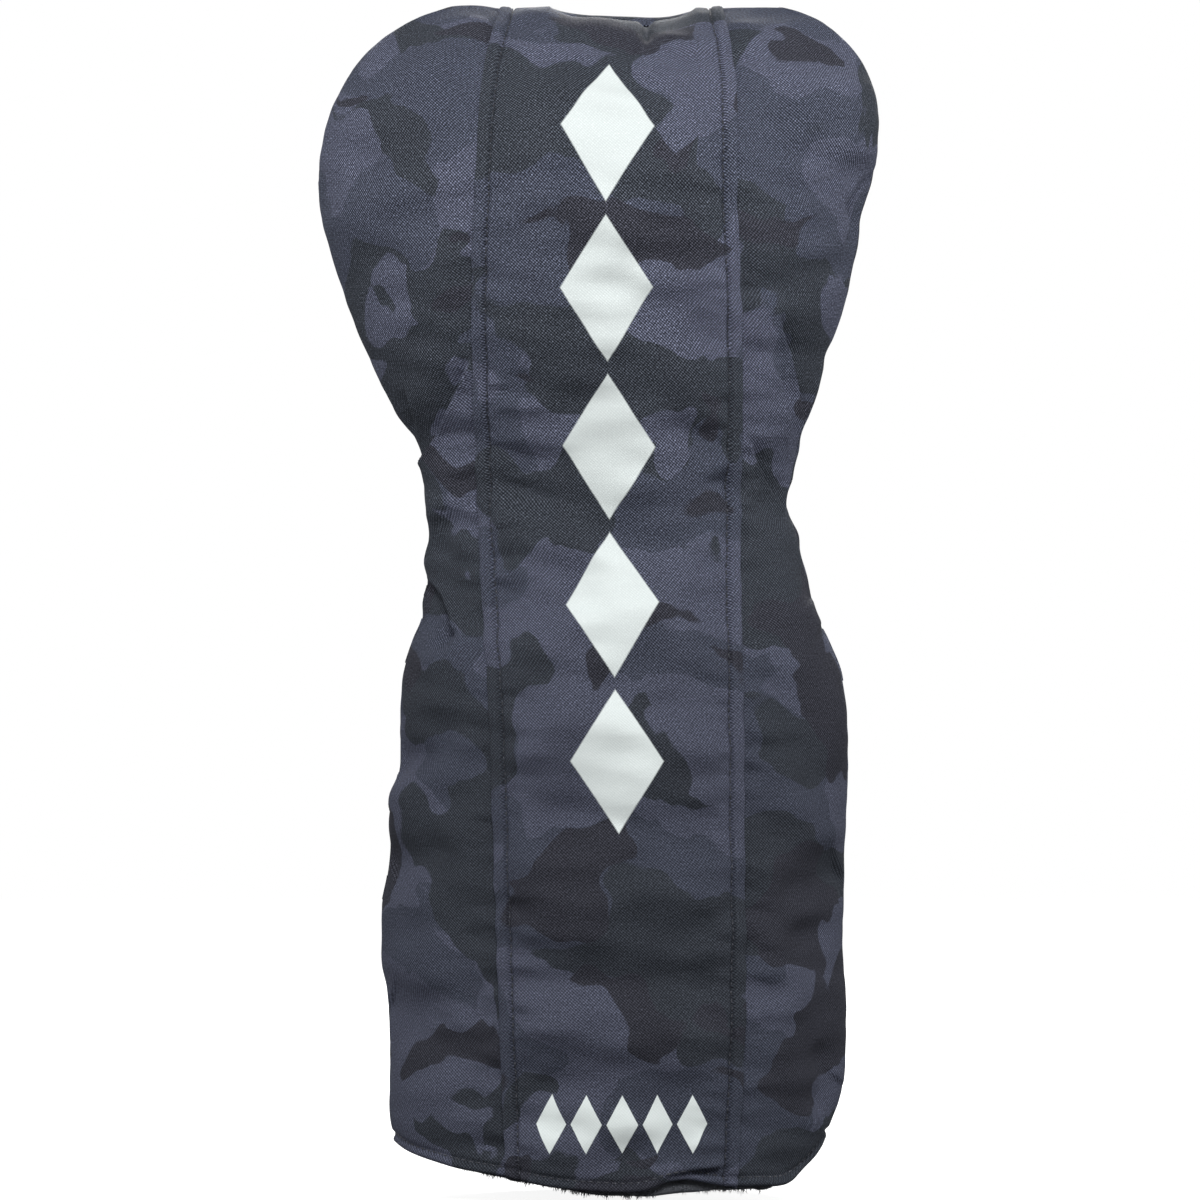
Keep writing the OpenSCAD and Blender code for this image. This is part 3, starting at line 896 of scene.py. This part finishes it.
class HEADCOVER_OT_settle(Operator):
    """Lets the six panels of cloth settle and pucker between their seams, on the padding"""

    bl_idname = "headcover.settle"
    bl_label = "Settle the Cloth"

    def execute(self, context):
        scene, settings = context.scene, context.scene.head_cover
        swatches = {}
        for half, part in PANELS:
            base, normal, x, _, to_lap, _, _ = base_grid(half, part, CLOTH_STEP)
            z = base[..., 2]
            start = base + normal * (0.5 * MM * ripple(x, z, 14 * MM, 71 + half, 1.6))[..., None]
            cut = base.copy()
            cut[..., :2] *= 1 + (SPARE_ROUND + settings.spare_width * gather_at(z))[..., None]
            cut[..., 2] *= 1 + settings.spare_length
            held = np.full(x.shape, PADDING_HOLD)
            for border in (np.s_[0, :], np.s_[-1, :], np.s_[:, 0], np.s_[:, -1]):
                held[border] = 1.0
            if part == CENTRE:
                held[to_lap < LAP * 1.05] = 1.0
            swatches[half, part] = base, swatch(f"swatch_{half}_{part}", start, cut, held)
        for step in range(1, CLOTH_FRAMES + 1):
            scene.frame_set(step)
        graph = context.evaluated_depsgraph_get()
        for key, (base, piece) in swatches.items():
            flat = np.zeros(base.size)
            piece.evaluated_get(graph).data.vertices.foreach_get("co", flat)
            settled = np.zeros(base.shape)
            settled[GRID_ORDER[piece.name]] = flat.reshape(-1, 3)
            moved = settled - base
            size = np.linalg.norm(moved, axis=-1, keepdims=True)
            SETTLED[key] = moved * np.minimum(1, CLOTH_REACH / np.maximum(size, 1e-9))
        for _, piece in swatches.values():
            bpy.data.objects.remove(piece)
        scene.frame_set(1)
        return {"FINISHED"}


def swatch(name, start, cut, held):
    """A coarse panel that is ready to settle: where it starts, how it was cut and what holds it."""
    piece = cloth(name, start, start[..., :2], material("twill"))
    piece.shape_key_add(name="Basis")
    key = piece.shape_key_add(name="cut")
    key.data.foreach_set("co", cut[GRID_ORDER[name]].ravel())
    group = piece.vertex_groups.new(name="held")
    for index, weight in enumerate(held[GRID_ORDER[name]]):
        group.add([index], float(weight), "REPLACE")
    modifier = piece.modifiers.new("settle", "CLOTH")
    modifier.settings.rest_shape_key = key
    for setting, value in CLOTH_SETTINGS.items():
        setattr(modifier.settings, setting, value)
    modifier.settings.effector_weights.gravity = 0
    modifier.collision_settings.use_collision = False
    modifier.point_cache.frame_start = 1
    modifier.point_cache.frame_end = CLOTH_FRAMES
    return piece


def place(piece, slot, *nodes):
    """Puts a finished piece on the frame's body, in place of its CAD nodes."""
    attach(piece, BODY)
    if nodes:
        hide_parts(*nodes)
    return piece


class HEADCOVER_OT_panels(Operator):
    """Sews the six outer panels, with their folds, laps and turned hems"""

    bl_idname = "headcover.panels"
    bl_label = "Outer Panels"

    def execute(self, context):
        settings = context.scene.head_cover
        for half, part in PANELS:
            name = f"{HALF_NAME[half]}_{part}"
            grid = panel_grid(half, part, PANEL_STEP[half], settings)
            GRIDS[half, part] = grid[0], grid[2]
            if part == CENTRE:
                grid = roll_sides(grid, LAP_ROLL, LAP_TAIL)
            points, uv, _ = roll_under(grid, HEM_ROLL, HEM_TAIL)
            uv = uv + np.array(UV_SHIFT[half, part])
            look = material("printed" if (half, part) == (FRONT, CENTRE) else "twill")
            piece = cloth(f"{name}_cover", points, uv, look, FABRIC * 0.6)
            place(piece, "camouflage_twill", f"{name}_panel", f"{name}_padding")
        return {"FINISHED"}


class HEADCOVER_OT_lining(Operator):
    """Hangs the fleece lining inside, and the elastic behind the back centre panel"""

    bl_idname = "headcover.lining"
    bl_label = "Lining and Elastic"

    def execute(self, context):
        settings = context.scene.head_cover
        for half, part in PANELS:
            name = f"{HALF_NAME[half]}_{part}"
            points, uv, normal = panel_grid(half, part, LINING_STEP, settings, WALL + 0.4 * MM, True)
            GRIDS[half, part, "lining"] = points, normal
            piece = cloth(f"{name}_fleece", points, uv, material("fleece"), 2.0 * MM)
            place(piece, "fleece", f"{name}_lining")
        points, uv, _ = panel_grid(BACK, CENTRE, LINING_STEP, settings, 2.8 * MM)
        z = points[..., 2].mean(axis=1)
        rows = (z > ELASTIC_LOW.z) & (z < ELASTIC_HIGH.z)
        piece = cloth("neck_elastic_band", points[rows], uv[rows], material("elastic"), 1.0 * MM)
        place(piece, "elastic", "neck_elastic")
        return {"FINISHED"}


class HEADCOVER_OT_stitching(Operator):
    """Sews the lines of stitches along the laps and the hem"""

    bl_idname = "headcover.stitching"
    bl_label = "Stitching"

    def execute(self, context):
        pitch = context.scene.head_cover.stitch_pitch
        for half in (FRONT, BACK):
            lines = lap_lines(half) + [row_round(half, round(HEM_STITCH / PANEL_STEP[half]))]
            piece = stitches(f"{HALF_NAME[half]}_stitching", lines, pitch)
            place(piece, "camouflage_twill")
        return {"FINISHED"}


def lap_lines(half):
    """Points and normals along the stitching of both laps."""
    grid, normal = GRIDS[half, CENTRE]
    width = np.linalg.norm(grid[:, -1] - grid[:, 0], axis=-1)
    rows = np.arange(len(grid))
    lines = []
    for share in (LAP / width, 1 - LAP / width):
        column = np.interp(share, *CENTRE_COLUMNS[::-1]) * (grid.shape[1] - 1)
        low = np.floor(column).astype(int)
        part = (column - low)[:, None]
        at = grid[rows, low] * (1 - part) + grid[rows, low + 1] * part
        lines.append((at, normal[rows, low]))
    return lines


def row_round(half, row, *layer):
    """Points and normals along one row of the half's three panels, from side seam to side seam."""
    grids = [GRIDS[(half, part, *layer)] for part in (PARTS if half == FRONT else PARTS[::-1])]
    return tuple(np.concatenate([grid[k][row, 1:-1] for grid in grids]) for k in (0, 1))


def run_along(points):
    """Distance along a line of points, at each of them."""
    return np.concatenate([[0], np.cumsum(np.linalg.norm(np.diff(points, axis=0), axis=1))])


def at_run(places, run, values):
    """Vectors at some distances along a line."""
    return np.stack([np.interp(places, run, values[:, i]) for i in range(3)], -1)


TUFT_PITCH = 0.11 * MM
# Half width and half height of one tuft of the pile, and of one stitch.
TUFT_HALF = (0.16 * MM, 0.16 * MM)
STITCH_HALF = (0.36 * MM, 0.30 * MM)


class HEADCOVER_OT_pile(Operator):
    """Raises the fleece's pile along the lower edge of the lining"""

    bl_idname = "headcover.pile"
    bl_label = "Fleece Pile"

    def execute(self, context):
        random = np.random.default_rng(5)
        for half in (FRONT, BACK):
            edge, normal = row_round(half, 0, "lining")
            run = run_along(edge)
            count = int(run[-1] / TUFT_PITCH)
            at = np.sort(random.uniform(0, run[-1], count))
            root = at_run(at, run, edge)
            out = unit(at_run(at, run, normal))
            root = root - out * random.uniform(0, 2.0 * MM, (count, 1))
            root[:, 2] += random.uniform(0, 1.2 * MM, count)
            clump = 0.5 + 0.5 * np.sin(at / (1.7 * MM) + 2 * np.sin(at / (4.1 * MM)))
            way = np.array([0, 0, -1.0]) + out * random.uniform(-0.1, 0.7, (count, 1))
            way = unit(way + random.normal(0, 0.42, (count, 3)))
            length = (0.8 + 0.9 * clump) * random.uniform(0.6, 1.4, count) * MM
            tip = root + way * length[:, None]
            tip[:, 2] = np.maximum(tip[:, 2], 0.2 * MM)
            cone = bmesh.new()
            bmesh.ops.create_cone(cone, cap_ends=True, segments=4, radius1=1, radius2=0.15, depth=2)
            piece = scatter(f"{HALF_NAME[half]}_pile", cone, root, tip, out, *TUFT_HALF, "fleece")
            place(piece, "fleece")
        return {"FINISHED"}


def unit(vectors):
    """Vectors with a length of one."""
    return vectors / np.maximum(np.linalg.norm(vectors, axis=-1, keepdims=True), 1e-12)


def stitches(name, lines, pitch):
    """Short threads in a row along each line, each sunk at its two ends."""
    starts, ends, ups = [], [], []
    for at, normal in lines:
        run = run_along(at)
        first = np.arange(int(run[-1] / pitch)) * pitch
        starts.append(at_run(first + 0.12 * pitch, run, at))
        ends.append(at_run(first + 0.88 * pitch, run, at))
        ups.append(unit(at_run(first + 0.5 * pitch, run, normal)))
    bead = bmesh.new()
    bmesh.ops.create_uvsphere(bead, u_segments=6, v_segments=6, radius=1)
    start, end, up = np.concatenate(starts), np.concatenate(ends), np.concatenate(ups)
    return scatter(name, bead, start, end, up, *STITCH_HALF, "thread")


def scatter(name, pattern, start, end, up, half_width, half_height, look):
    """One mesh of many copies of a small pattern, each stretched from its start to its end."""
    way = unit(end - start)
    side = unit(np.cross(way, up))
    up = np.cross(side, way)
    pattern_mesh = bpy.data.meshes.new("pattern")
    pattern.to_mesh(pattern_mesh)
    pattern.free()
    bm = bmesh.new()
    for _ in range(len(start)):
        bm.from_mesh(pattern_mesh)
    mesh = bpy.data.meshes.new(name)
    bm.to_mesh(mesh)
    bm.free()
    shape = np.array([v.co for v in pattern_mesh.vertices])
    bpy.data.meshes.remove(pattern_mesh)
    half_long = np.linalg.norm(end - start, axis=-1)[:, None, None] / 2
    places = (((start + end) / 2)[:, None] + way[:, None] * shape[None, :, 2:] * half_long
              + side[:, None] * shape[None, :, 1:2] * half_width
              + up[:, None] * shape[None, :, :1] * half_height)
    mesh.vertices.foreach_set("co", places.ravel())
    mesh.polygons.foreach_set("use_smooth", [True] * len(mesh.polygons))
    mesh.update()
    mesh.materials.append(material(look))
    return add_object(name, mesh)


FLOOR_HALF = 2.6
# The lamps: name, place, power. Each is square, and faces the head of the cover.
LAMPS = [
    ("key", (0.02, -1.4, 0.98), 20.7),
    ("fill_left", (-1.1, -0.15, 0.42), 3.8),
    ("fill_right", (1.1, -0.15, 0.42), 4.5),
    ("back_key", (0.1, 1.4, 0.80), 23),
]
LAMP_SIZE = 0.6
LIT_Z = 240 * MM
WORLD_LIGHT = 0.12
# The camera looks straight at the front, and sees this much of it from side to side.
CAMERA_AWAY, CAMERA_SEES = 2.6, 0.3528
CAMERA_X, CAMERA_Z = 0.0003, 0.1755
SENSOR = 36


class HEADCOVER_OT_stage(Operator):
    """Sets the floor, the lights and the camera"""

    bl_idname = "headcover.stage"
    bl_label = "Stage"

    def execute(self, context):
        scene = context.scene
        scene.view_settings.view_transform = "Standard"
        bm = bmesh.new()
        bmesh.ops.create_grid(bm, x_segments=1, y_segments=1, size=FLOOR_HALF)
        mesh = bpy.data.meshes.new("floor")
        bm.to_mesh(mesh)
        bm.free()
        floor = add_object("floor", mesh)
        mesh.materials.append(material("floor"))
        make_world(scene)
        for lamp in LAMPS:
            add_lamp(*lamp)
        camera_data = bpy.data.cameras.new("camera")
        camera_data.sensor_width = SENSOR
        camera_data.lens = SENSOR * CAMERA_AWAY / CAMERA_SEES
        camera_data.clip_end = 50
        camera = add_object("camera", camera_data)
        camera.location = (CAMERA_X, -CAMERA_AWAY, CAMERA_Z)
        camera.rotation_euler = (math.pi / 2, 0, 0)
        scene.camera = camera
        return {"FINISHED"}


def make_world(scene):
    """White to the camera, and a soft even light on the cover."""
    scene.world = bpy.data.worlds.new("studio")
    n = Nodes(scene.world)
    n.tree.nodes.clear()
    kinds = ("Camera", "Glossy", "Transmission")
    rays = [n.add("ShaderNodeLightPath", out=f"Is {kind} Ray") for kind in kinds]
    seen = n.math("MAXIMUM", rays[0], n.math("MAXIMUM", rays[1], rays[2]))
    strength = n.step(seen, 0.0, 1.0, WORLD_LIGHT, 1.0)
    light = n.add("ShaderNodeBackground", {"Color": (1, 1, 1, 1), "Strength": strength})
    n.put(n.tree.nodes.new("ShaderNodeOutputWorld").inputs[0], light)


def add_lamp(name, at, power):
    """A square soft lamp that faces the head of the cover."""
    data = bpy.data.lights.new(name, "AREA")
    data.shape = "SQUARE"
    data.size = LAMP_SIZE
    data.energy = power
    lamp = add_object(name, data)
    lamp.location = at
    aim = Vector((0, 0, LIT_Z)) - Vector(at)
    lamp.rotation_euler = aim.to_track_quat("-Z", "Y").to_euler()


class HEADCOVER_PT_sidebar(Panel):
    """Lists the steps that make the head cover"""

    bl_label = "Driver Head Cover"
    bl_idname = "HEADCOVER_PT_sidebar"
    bl_space_type = "VIEW_3D"
    bl_region_type = "UI"
    bl_category = "Head Cover"

    def draw(self, context):
        settings = context.scene.head_cover
        for name in settings.__annotations__:
            self.layout.prop(settings, name)
        for operator in OPERATORS:
            self.layout.operator(operator.bl_idname)


OPERATORS = (HEADCOVER_OT_settle, HEADCOVER_OT_panels, HEADCOVER_OT_lining, HEADCOVER_OT_pile,
             HEADCOVER_OT_stitching, HEADCOVER_OT_stage)
CLASSES = (HeadCoverSettings, *OPERATORS, HEADCOVER_PT_sidebar)


def register():
    for cls in CLASSES:
        bpy.utils.register_class(cls)
    bpy.types.Scene.head_cover = PointerProperty(type=HeadCoverSettings)


def unregister():
    del bpy.types.Scene.head_cover
    for cls in reversed(CLASSES):
        bpy.utils.unregister_class(cls)


def main():
    """Makes the cover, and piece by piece."""
    register()
    bpy.ops.headcover.settle()
    bpy.ops.headcover.panels()
    bpy.ops.headcover.lining()
    bpy.ops.headcover.pile()
    bpy.ops.headcover.stitching()
    bpy.ops.headcover.stage()


if __name__ == "__main__":
    main()
